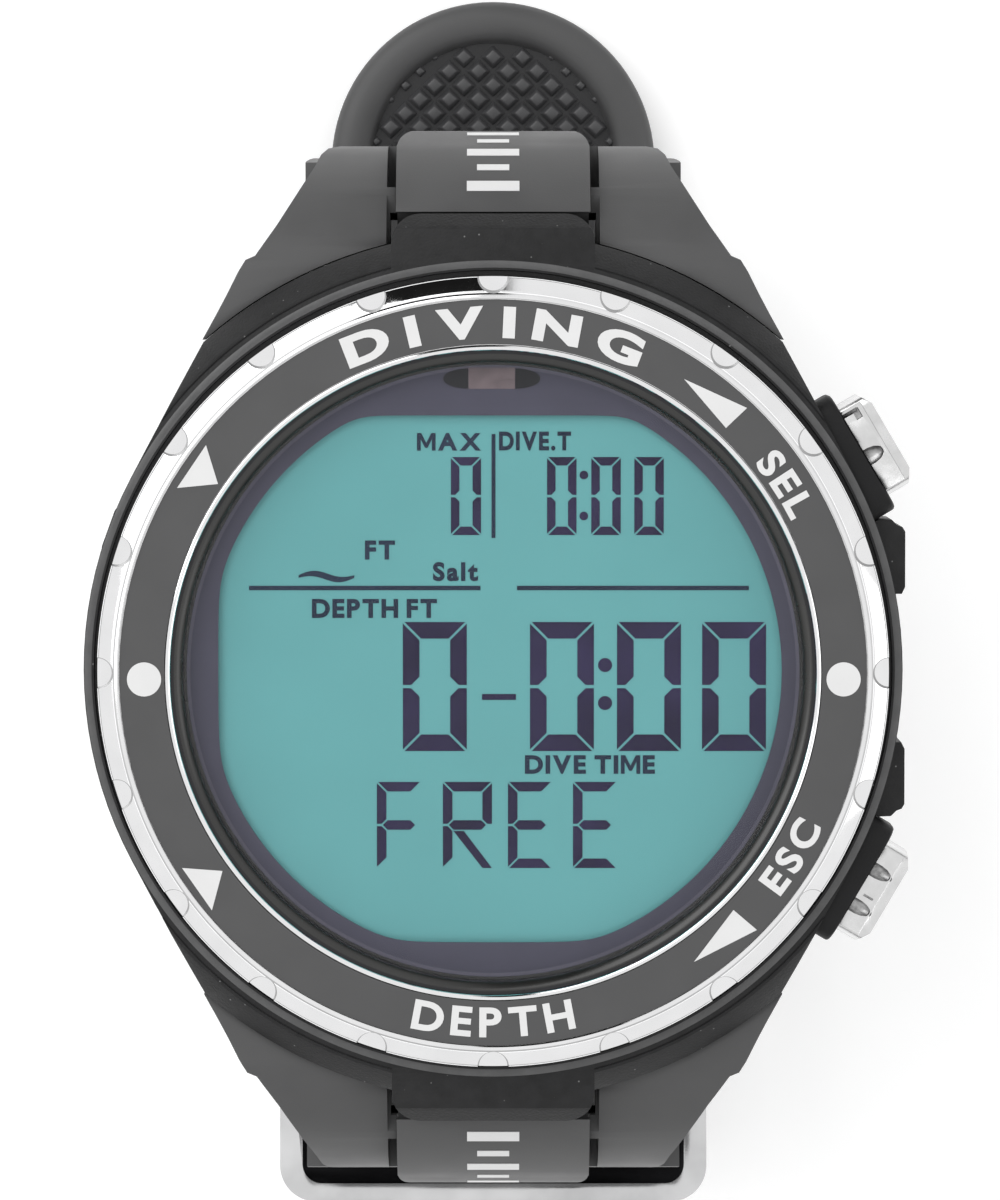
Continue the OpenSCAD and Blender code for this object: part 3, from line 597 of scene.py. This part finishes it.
lower_edge = [(x, y - h) for x, y, h in wave]
upper_edge = [(x, y + h) for x, y, h in wave[::-1]]
plate(bm, lower_edge + upper_edge, INK_LOW, INK_HIGH)
settle(to_object("lcd_labels", bm, LCD_TEXT), "case", "lcd")

# mask round the window, with soft corners and a lighter rim that is a painted highlight of the
# glass's bevelled edge
MASK_R = 22.6
MASK_LOW = 14.0
WINDOW = (21.2, 20.2, 20.0, 18.8)
WINDOW_STEPS = 180


def window_edge(grow=0.0):
    """The window's outline: a disc cut flat at the left, bottom and top, with soft corners."""
    out = []
    for i in range(WINDOW_STEPS):
        a = 2 * pi * i / WINDOW_STEPS
        limits = [1 / (WINDOW[0] + grow), max(0, -cos(a)) / (WINDOW[1] + grow),
                  max(0, -sin(a)) / (WINDOW[2] + grow), max(0, sin(a)) / (WINDOW[3] + grow)]
        r = sum(v ** 70 for v in limits) ** (-1 / 70)
        out.append((r * cos(a), r * sin(a)))
    return out


def ring_plate(bm, outer, inner, z0, z1):
    """A flat ring between two outlines of the same number of points."""
    loops = [[bm.verts.new((x * MM, y * MM, z * MM)) for x, y in loop]
             for loop, z in ((outer, z0), (outer, z1), (inner, z1), (inner, z0))]
    for one, two in zip(loops, loops[1:] + loops[:1]):
        for i in range(len(one)):
            k = (i + 1) % len(one)
            bm.faces.new((one[i], one[k], two[k], two[i]))


bm = bmesh.new()
ring_plate(bm, oval(0, 0, MASK_R, steps=WINDOW_STEPS), window_edge(), MASK_LOW, MASK_TOP)
settle(to_object("mask_ring", bm, MASK), "case", "mask_print", "display_mask")
# the lighter ring round the mask's edge: a painted highlight of the glass's bevel
bm = bmesh.new()
lathe(bm, [(22.25, MASK_TOP - 0.02), (22.25, MASK_TOP + 0.015), (22.62, MASK_TOP + 0.015),
           (22.62, MASK_TOP - 0.02)])
settle(to_object("mask_lip_painted_highlight", bm, MASK_LIP_HIGHLIGHT), "case", "mask_print")

# gasket: a dark seat, the glass's satin edge and a black line
bm = bmesh.new()
lathe(bm, [(22.5, 14.3), (22.5, 14.46), (22.7, 14.48), (22.72, 16.0), (22.95, 16.3), (23.25, 16.42),
           (23.42, 16.44), (23.56, 16.42), (23.56, 14.05), (22.7, 14.05), (22.7, 14.3)])
settle(to_object("gasket_edge", bm, GLASS_EDGE), "case", "gasket_rubber", "crystal_gasket")
bm = bmesh.new()
lathe(bm, [(23.36, 16.4), (23.36, 16.5), (23.58, 16.52), (23.58, 16.4)])
settle(to_object("gasket_line", bm, GASKET), "case", "gasket_rubber")

# light window of the mask, between two dark pads
bm = bmesh.new()
block(bm, (-1.8, 20.75, MASK_TOP - 0.01), (1.6, 22.3, MASK_TOP + 0.03))
settle(to_object("mask_light_window", bm, MASK_WINDOW), "case", "mask_print")
bm = bmesh.new()
for side in (-1, 1):
    x0 = -0.1 + side * 1.72
    arc = [(x0 + side * 1.85 * cos(a), 21.5 + 0.75 * sin(a)) for a in
           [radians(-90 + 180 * i / 16) for i in range(17)]]
    plate(bm, arc if side > 0 else arc[::-1], MASK_TOP - 0.01, MASK_TOP + 0.02)
settle(to_object("mask_pads", bm, GASKET), "case", "mask_print")

# ---- buttons --------------------------------------------------------------------------

BUTTON_ANGLE = 30.5
BUTTON_Z = 8.8
CAP = ((29.4, -3.8, -2.4), (34.05, 3.8, 2.4))
STEM = (20.2, 1.25)
CAP_CORNER = 1.0


def corner_plan(y, z, r, steps=8):
    """A rounded rectangle of half sizes y and z."""
    out = []
    for cy, cz, a0 in ((y - r, z - r, 0), (-(y - r), z - r, 90), (-(y - r), -(z - r), 180),
                       (y - r, -(z - r), 270)):
        for i in range(steps + 1):
            a = radians(a0 + 90 * i / steps)
            out.append((cy + r * cos(a), cz + r * sin(a)))
    return out


def along_button(bm, outline, x0, x1):
    """Extrudes an outline of (y, z) along the button's own X axis, in millimetres."""
    low = [bm.verts.new((x0 * MM, y * MM, z * MM)) for y, z in outline]
    high = [bm.verts.new((x1 * MM, y * MM, z * MM)) for y, z in outline]
    bm.faces.new(low[::-1])
    bm.faces.new(high)
    for i in range(len(outline)):
        k = (i + 1) % len(outline)
        bm.faces.new((low[i], low[k], high[k], high[i]))


def rod(bm, x0, x1, r, steps):
    """A round bar on the button's axis."""
    along_button(bm, oval(0, 0, r, steps=steps), x0, x1)


def flute(bm, x1, y, z, r, steps=24):
    """A groove along the cap with a round outer end."""
    rings = [[bm.verts.new((x * MM, u * MM, v * MM)) for u, v in oval(y, z, g * r, steps=steps)]
             for x, g in ((29, 1), (x1 - 1.1, 1), (x1 - 0.6, 0.9), (x1 - 0.2, 0.65), (x1, 0.25))]
    bm.faces.new(rings[0][::-1])
    bm.faces.new(rings[-1])
    for one, two in zip(rings, rings[1:]):
        for i in range(steps):
            k = (i + 1) % steps
            bm.faces.new((one[i], one[k], two[k], two[i]))


def button_cap(side, sign):
    """The cast cap and the stem of one button; sign is 1 for the upper one."""
    bm = bmesh.new()
    half_y, half_z = CAP[1][1], CAP[1][2]
    along_button(bm, corner_plan(half_y, half_z, CAP_CORNER), CAP[0][0], CAP[1][0])
    cap = to_object("button_cap_" + side, bm, CAST_STEEL)
    bevel_bm = bmesh.new()
    # the outer face is lower towards the ends, so the cap looks crowned
    for s in (-1, 1):
        corner = [(CAP[1][0] + 0.1, s * 2.6), (CAP[1][0] + 0.1, s * 4), (CAP[1][0] - 0.75, s * 4)]
        plate(bevel_bm, corner if s > 0 else corner[::-1], -4, 4)
    # step below the outer wall, on both broad faces
    for z0, z1 in ((1.95, 3.2), (-3.2, -1.95)):
        block(bevel_bm, (29, -3.3, z0), (33.35, 3.3, z1))
    cut(cap, bevel_bm, (CAST_STEEL,))
    tools = bmesh.new()
    if side == "upper":
        flute(tools, 33.2, -0.6, 2.35, 0.75)
        flute(tools, 33.2, -0.6, -2.35, 0.75)
        block(tools, (29, 2.75, 0.5), (32.9, 3.05, 3))
        block(tools, (32.5, 2.2, 0.9), (33.0, 3.0, 3))
    else:
        for y in (1.45, -1.55):
            flute(tools, 33.4, y, 2.25, 0.62)
            flute(tools, 33.4, y, -2.25, 0.62)
        block(tools, (32.2, -0.62, 1.5), (33.0, -0.45, 3))
    # the flutes and slots take the darker cast steel as painted shade in the grooves
    cut(cap, tools, (CAST_PAINTED_SHADE,))
    rounded(cap, 0.26, 3, 28)
    stem = bmesh.new()
    rod(stem, STEM[0], CAP[0][0] + 0.05, STEM[1], 40)
    rod_piece = to_object("button_stem_" + side, stem, SCREW)
    grooves = bmesh.new()
    for x0, width in ((23, 0.8), (20.85, 0.4)):
        outer = oval(0, 0, STEM[1] + 0.6, steps=40)
        inner = oval(0, 0, STEM[1] - 0.35, steps=40)
        rings = []
        for x in (x0, x0 + width):
            rings.append([[grooves.verts.new((x * MM, y * MM, z * MM)) for y, z in loop]
                          for loop in (outer, inner)])
        for i in range(40):
            k = (i + 1) % 40
            (ao, ai), (bo, bi) = rings
            for quad in ((ao[i], ao[k], bo[k], bo[i]), (ai[k], ai[i], bi[i], bi[k]),
                         (ao[k], ao[i], ai[i], ai[k]), (bo[i], bo[k], bi[k], bi[i])):
                grooves.faces.new(quad)
    cut(rod_piece, grooves, (SCREW,))
    rounded(rod_piece, 0.06, 2, 40)
    turn = Matrix.Translation((0, 0, BUTTON_Z * MM))
    turn = Matrix.Rotation(radians(sign * BUTTON_ANGLE), 4, "Z") @ turn
    for piece in (cap, rod_piece):
        piece.data.transform(turn)
    settle(cap, "button_" + side, "polished_steel", "button_" + side)
    settle(rod_piece, "button_" + side, "polished_steel")


button_cap("upper", 1)
button_cap("lower", -1)

# each coil is a copy of its CAD spring, riding on the case in its place
for side, sign in (("upper", 1), ("lower", -1)):
    coil = to_object("button_coil_" + side, cad_copy("button_spring_" + side), SPRING)
    along = Vector((cos(radians(BUTTON_ANGLE)), sign * sin(radians(BUTTON_ANGLE)), 0))
    reach = [v.co.dot(along) for v in coil.data.vertices]
    settle(coil, "case", "spring_steel", "button_spring_" + side)
    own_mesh(coil)

# ---- straps ---------------------------------------------------------------------------

softened("short_strap", "case", "strap_rubber", RUBBER, 0.3, 3, 32)

TAIL_CUT = 33.0
TAIL_HALF = 13.3
TAIL_END = 51.5
TAIL_TOP = -41.0
TAIL_BOTTOM = -43.8
RIM_W = 3.45
bm = cad_copy("long_strap")
split = bmesh.ops.bisect_plane(bm, geom=bm.verts[:] + bm.edges[:] + bm.faces[:],
                               plane_co=(0, TAIL_CUT * MM, 0), plane_no=(0, 1, 0), clear_outer=True)
edges = [g for g in split["geom_cut"] if isinstance(g, bmesh.types.BMEdge)]
bmesh.ops.contextual_create(bm, geom=edges)
strap = to_object("long_strap_soft", bm, RUBBER)
rounded(strap, 0.3, 3, 32)
settle(strap, "case", "strap_rubber", "long_strap")

# the tip: a U of rings from the underside over the round rim to the sunk floor
TIP_Y = TAIL_END - TAIL_HALF
RIM_PROFILE = [(1.5, TAIL_BOTTOM), (0.6, TAIL_BOTTOM + 0.12), (0.18, TAIL_BOTTOM + 0.45),
               (0.0, TAIL_BOTTOM + 0.95), (0.02, TAIL_TOP - 1.15), (0.14, TAIL_TOP - 0.72),
               (0.42, TAIL_TOP - 0.36), (0.85, TAIL_TOP - 0.12), (1.4, TAIL_TOP),
               (2.0, TAIL_TOP), (2.5, TAIL_TOP - 0.06), (2.9, TAIL_TOP - 0.2),
               (3.15, TAIL_TOP - 0.42), (3.3, TAIL_TOP - 0.75), (RIM_W, TAIL_TOP - 1.0)]
FLOOR_Z = RIM_PROFILE[-1][1]
ARC_STEPS = 48


def u_outline(inset):
    """Points round the tip at an inset, from one cut end to the other."""
    half = TAIL_HALF - inset
    points = [(half, TAIL_CUT - 0.2), (half, TAIL_CUT + 0.5 * (TIP_Y - TAIL_CUT))]
    points += [(half * cos(pi * i / ARC_STEPS), TIP_Y + half * sin(pi * i / ARC_STEPS))
               for i in range(ARC_STEPS + 1)]
    points += [(-half, TAIL_CUT + 0.5 * (TIP_Y - TAIL_CUT)), (-half, TAIL_CUT - 0.2)]
    return points


bm = bmesh.new()
loops = []
for inset, z in RIM_PROFILE:
    loops.append([bm.verts.new((x * MM, y * MM, z * MM)) for x, y in u_outline(inset)])
for one, two in zip(loops, loops[1:]):
    for i in range(len(one) - 1):
        bm.faces.new((one[i], one[i + 1], two[i + 1], two[i]))
for loop in (loops[0], loops[-1]):
    half_count = len(loop) // 2
    for i in range(half_count - 1):
        quad = (loop[i], loop[i + 1], loop[-2 - i], loop[-1 - i])
        bm.faces.new(quad if loop is loops[0] else quad[::-1])
    bm.faces.new((loop[half_count - 1], loop[half_count], loop[half_count + 1]))
back_edges = [e for e in bm.edges if e.is_boundary]
bmesh.ops.contextual_create(bm, geom=back_edges)
settle(to_object("strap_tip", bm, RUBBER, 50), "case", "strap_rubber")

# low pyramids on the sunk floor, in staggered rows
PITCH_X = 2.4
PITCH_Y = 2.3
PYRAMID_H = 0.6
FACE = 0.9
inner = TAIL_HALF - RIM_W - 0.25
bm = bmesh.new()
rows = int((TAIL_END - TAIL_CUT) / (PITCH_Y / 2)) + 2
for row in range(rows):
    y = TAIL_END - RIM_W - 1.1 - row * PITCH_Y / 2
    for col in range(-5, 6):
        x = (col + 0.5 * (row % 2)) * PITCH_X
        dx, dy = FACE * PITCH_X / 2, FACE * PITCH_Y / 2
        reach = max(abs(x), (x * x + max(0, y - TIP_Y) ** 2) ** 0.5)
        if reach > inner + 0.9 or y < TAIL_CUT + 1:
            continue
        shrink = min(1.0, max(0.35, (inner + 1.0 - reach) / 1.6))
        dx, dy = dx * shrink, dy * shrink
        base = [(x + dx, y), (x, y + dy), (x - dx, y), (x, y - dy)]
        crown = [(x + 0.55 * dx, y), (x, y + 0.55 * dy), (x - 0.55 * dx, y), (x, y - 0.55 * dy)]
        low = [bm.verts.new((a * MM, b * MM, (FLOOR_Z - 0.05) * MM)) for a, b in base]
        top = FLOOR_Z + PYRAMID_H * shrink
        high = [bm.verts.new((a * MM, b * MM, top * MM)) for a, b in crown]
        bm.faces.new(high)
        bm.faces.new(low[::-1])
        for i in range(4):
            k = (i + 1) % 4
            bm.faces.new((low[i], low[k], high[k], high[i]))
diamonds = to_object("tip_diamonds", bm, DIAMOND_RUBBER)
rounded(diamonds, 0.1, 2, 20)
settle(diamonds, "case", "strap_rubber")
# the sunk floor under the pyramids is darker rubber, painted shade in the recess
bm = bmesh.new()
plate(bm, u_outline(RIM_W - 0.2), FLOOR_Z - 0.03, FLOOR_Z + 0.03)
settle(to_object("tip_floor", bm, RUBBER_PAINTED_SHADE), "case", "strap_rubber")

# white bars printed on the two centre tabs
HOOD_Y, HOOD_Z, TAB_R = 27.0, -1.5, 12.95
LADDERS = (("marks_12", 1, (48, 39, 30, 21, 12)), ("marks_6", -1, (51, 42, 33, 24, 15)))
for name, sign, rungs in LADDERS:
    bm = bmesh.new()
    for n, rung in enumerate(rungs):
        half_x = 1.95 if n % 2 == 0 else 1.2
        span = 4.4 if n % 2 == 0 else 3.0
        grid = []
        for level in (TAB_R - 0.02, TAB_R + 0.04):
            for i in range(7):
                a = radians(rung - span / 2 + span * i / 6)
                for x in (-half_x, half_x):
                    grid.append(bm.verts.new((x * MM, sign * (HOOD_Y + level * cos(a)) * MM,
                                              (HOOD_Z + level * sin(a)) * MM)))
        for level in (0, 14):
            for i in range(6):
                k = level + 2 * i
                bm.faces.new((grid[k], grid[k + 1], grid[k + 3], grid[k + 2]))
        for i in range(6):
            k = 2 * i
            for e in (0, 1):
                bm.faces.new((grid[k + e], grid[k + 2 + e], grid[k + 16 + e], grid[k + 14 + e]))
        for k in (0, 12):
            bm.faces.new((grid[k], grid[k + 1], grid[k + 15], grid[k + 14]))
    settle(to_object("strap_" + name, bm, PRINT_WHITE, 60), "case", "strap_rubber")

for node, body in (("fixed_keeper", "case"), ("free_keeper", "free_keeper")):
    softened(node, body, "strap_rubber", RUBBER, 0.35, 3)
buckle = softened("buckle_frame", "buckle_frame", "polished_steel", BUCKLE_STEEL, 0.5, 4, 40)
buckle.data.materials.append(BUCKLE_SHADE_AND_REFLECTION)
# the sunk plate and the walls inside the lip get a near-black steel: painted shade and a painted
# reflection of the dark strap above them
PIN_AT = Vector((0, -24 * MM, -38.6 * MM))
TILT = Matrix.Rotation(radians(6.5), 3, "X")
INSIDE = Vector((15.9, -21.5, -0.9))
for polygon in buckle.data.polygons:
    spots = [(TILT @ (buckle.data.vertices[i].co - PIN_AT)) / MM for i in polygon.vertices]
    if all(abs(p.x) < INSIDE.x and p.y > INSIDE.y and p.z > INSIDE.z for p in spots):
        polygon.material_index = 1
softened("buckle_prong", "buckle_prong", "polished_steel", STEEL, 0.3, 3, 40)

# ---- floor, light and camera ----------------------------------------------------------

FLOOR_HALF = 3.0
bm = bmesh.new()
bmesh.ops.create_grid(bm, x_segments=1, y_segments=1, size=FLOOR_HALF)
for v in bm.verts:
    v.co.z = LOWEST - 0.0002
FLOOR_WHITE = shader("floor_white", (0.93, 0.93, 0.93), 0.9, tone=0.004, Specular_IOR_Level=0.1,
                     Emission_Color=(1, 1, 1, 1), Emission_Strength=0.2)
floor = to_object("floor", bm, FLOOR_WHITE)

world = bpy.data.worlds.new("studio")
bpy.context.scene.world = world
world.use_nodes = True
tree = world.node_tree
ground = tree.nodes["Background"]
ground.inputs["Strength"].default_value = 1.0
place = tree.nodes.new("ShaderNodeTexCoord")
flat = tree.nodes.new("ShaderNodeVectorMath")
flat.operation = "MULTIPLY"
flat.inputs[1].default_value = (1, 1, 0)
tree.links.new(place.outputs["Generated"], flat.inputs[0])
unit = tree.nodes.new("ShaderNodeVectorMath")
unit.operation = "NORMALIZE"
tree.links.new(flat.outputs["Vector"], unit.inputs[0])
toward = tree.nodes.new("ShaderNodeVectorMath")
toward.operation = "DOT_PRODUCT"
DARK_AT = radians(100)
DARK_EDGE = (0.972, 0.98)
toward.inputs[1].default_value = (cos(DARK_AT), sin(DARK_AT), 0)
tree.links.new(unit.outputs["Vector"], toward.inputs[0])
shade = tree.nodes.new("ShaderNodeValToRGB")
shade.color_ramp.elements[0].position = DARK_EDGE[0]
shade.color_ramp.elements[0].color = (1, 1, 1, 1)
shade.color_ramp.elements[1].position = DARK_EDGE[1]
shade.color_ramp.elements[1].color = (0.01, 0.01, 0.01, 1)
tree.links.new(toward.outputs["Value"], shade.inputs["Fac"])
parts = tree.nodes.new("ShaderNodeSeparateXYZ")
tree.links.new(place.outputs["Generated"], parts.inputs["Vector"])
height = tree.nodes.new("ShaderNodeMapRange")
height.inputs["From Min"].default_value = 0.85
height.inputs["From Max"].default_value = 0.93
tree.links.new(parts.outputs["Z"], height.inputs["Value"])
sky = tree.nodes.new("ShaderNodeMix")
sky.data_type = "RGBA"
sky.inputs["B"].default_value = (1, 1, 1, 1)
tree.links.new(height.outputs["Result"], sky.inputs["Factor"])
tree.links.new(shade.outputs["Color"], sky.inputs["A"])
horizon = tree.nodes.new("ShaderNodeMapRange")
horizon.inputs["From Min"].default_value = 0.02
horizon.inputs["From Max"].default_value = 0.3
horizon.inputs["To Min"].default_value = 0.12
tree.links.new(parts.outputs["Z"], horizon.inputs["Value"])
fade = tree.nodes.new("ShaderNodeVectorMath")
fade.operation = "SCALE"
tree.links.new(sky.outputs["Result"], fade.inputs[0])
tree.links.new(horizon.outputs["Result"], fade.inputs["Scale"])
tree.links.new(fade.outputs["Vector"], ground.inputs["Color"])


def softbox(name, at, size, watts):
    """A square area light that faces the middle of the case."""
    light = bpy.data.lights.new(name, "AREA")
    light.shape = "SQUARE"
    light.size = size
    light.energy = watts
    holder = bpy.data.objects.new(name, light)
    holder.location = at
    aim = Vector((0, 0, 0)) - Vector(at)
    holder.rotation_euler = aim.to_track_quat("-Z", "Y").to_euler()
    bpy.context.scene.collection.objects.link(holder)


softbox("key", (-0.45, 0.4, 0.65), 0.8, 3.9)
softbox("fill", (0.75, -0.1, 0.5), 0.5, 0.7)

CAMERA_AT = Vector((0.0, 0.02904, 0.46606))
CAMERA_TO = Vector((0.0005, 0.0054, 0.017))
lens = bpy.data.cameras.new("camera")
lens.sensor_width = 36
lens.sensor_fit = "HORIZONTAL"
lens.lens = 221.9
camera = bpy.data.objects.new("camera", lens)
forward = (CAMERA_TO - CAMERA_AT).normalized()
right = forward.cross(Vector((0, 1, 0))).normalized()
up = right.cross(forward)
turned = Matrix((right, up, -forward)).transposed().to_4x4()
camera.matrix_world = Matrix.Translation(CAMERA_AT) @ turned
bpy.context.scene.collection.objects.link(camera)
bpy.context.scene.camera = camera
bpy.context.scene.view_settings.view_transform = "Standard"
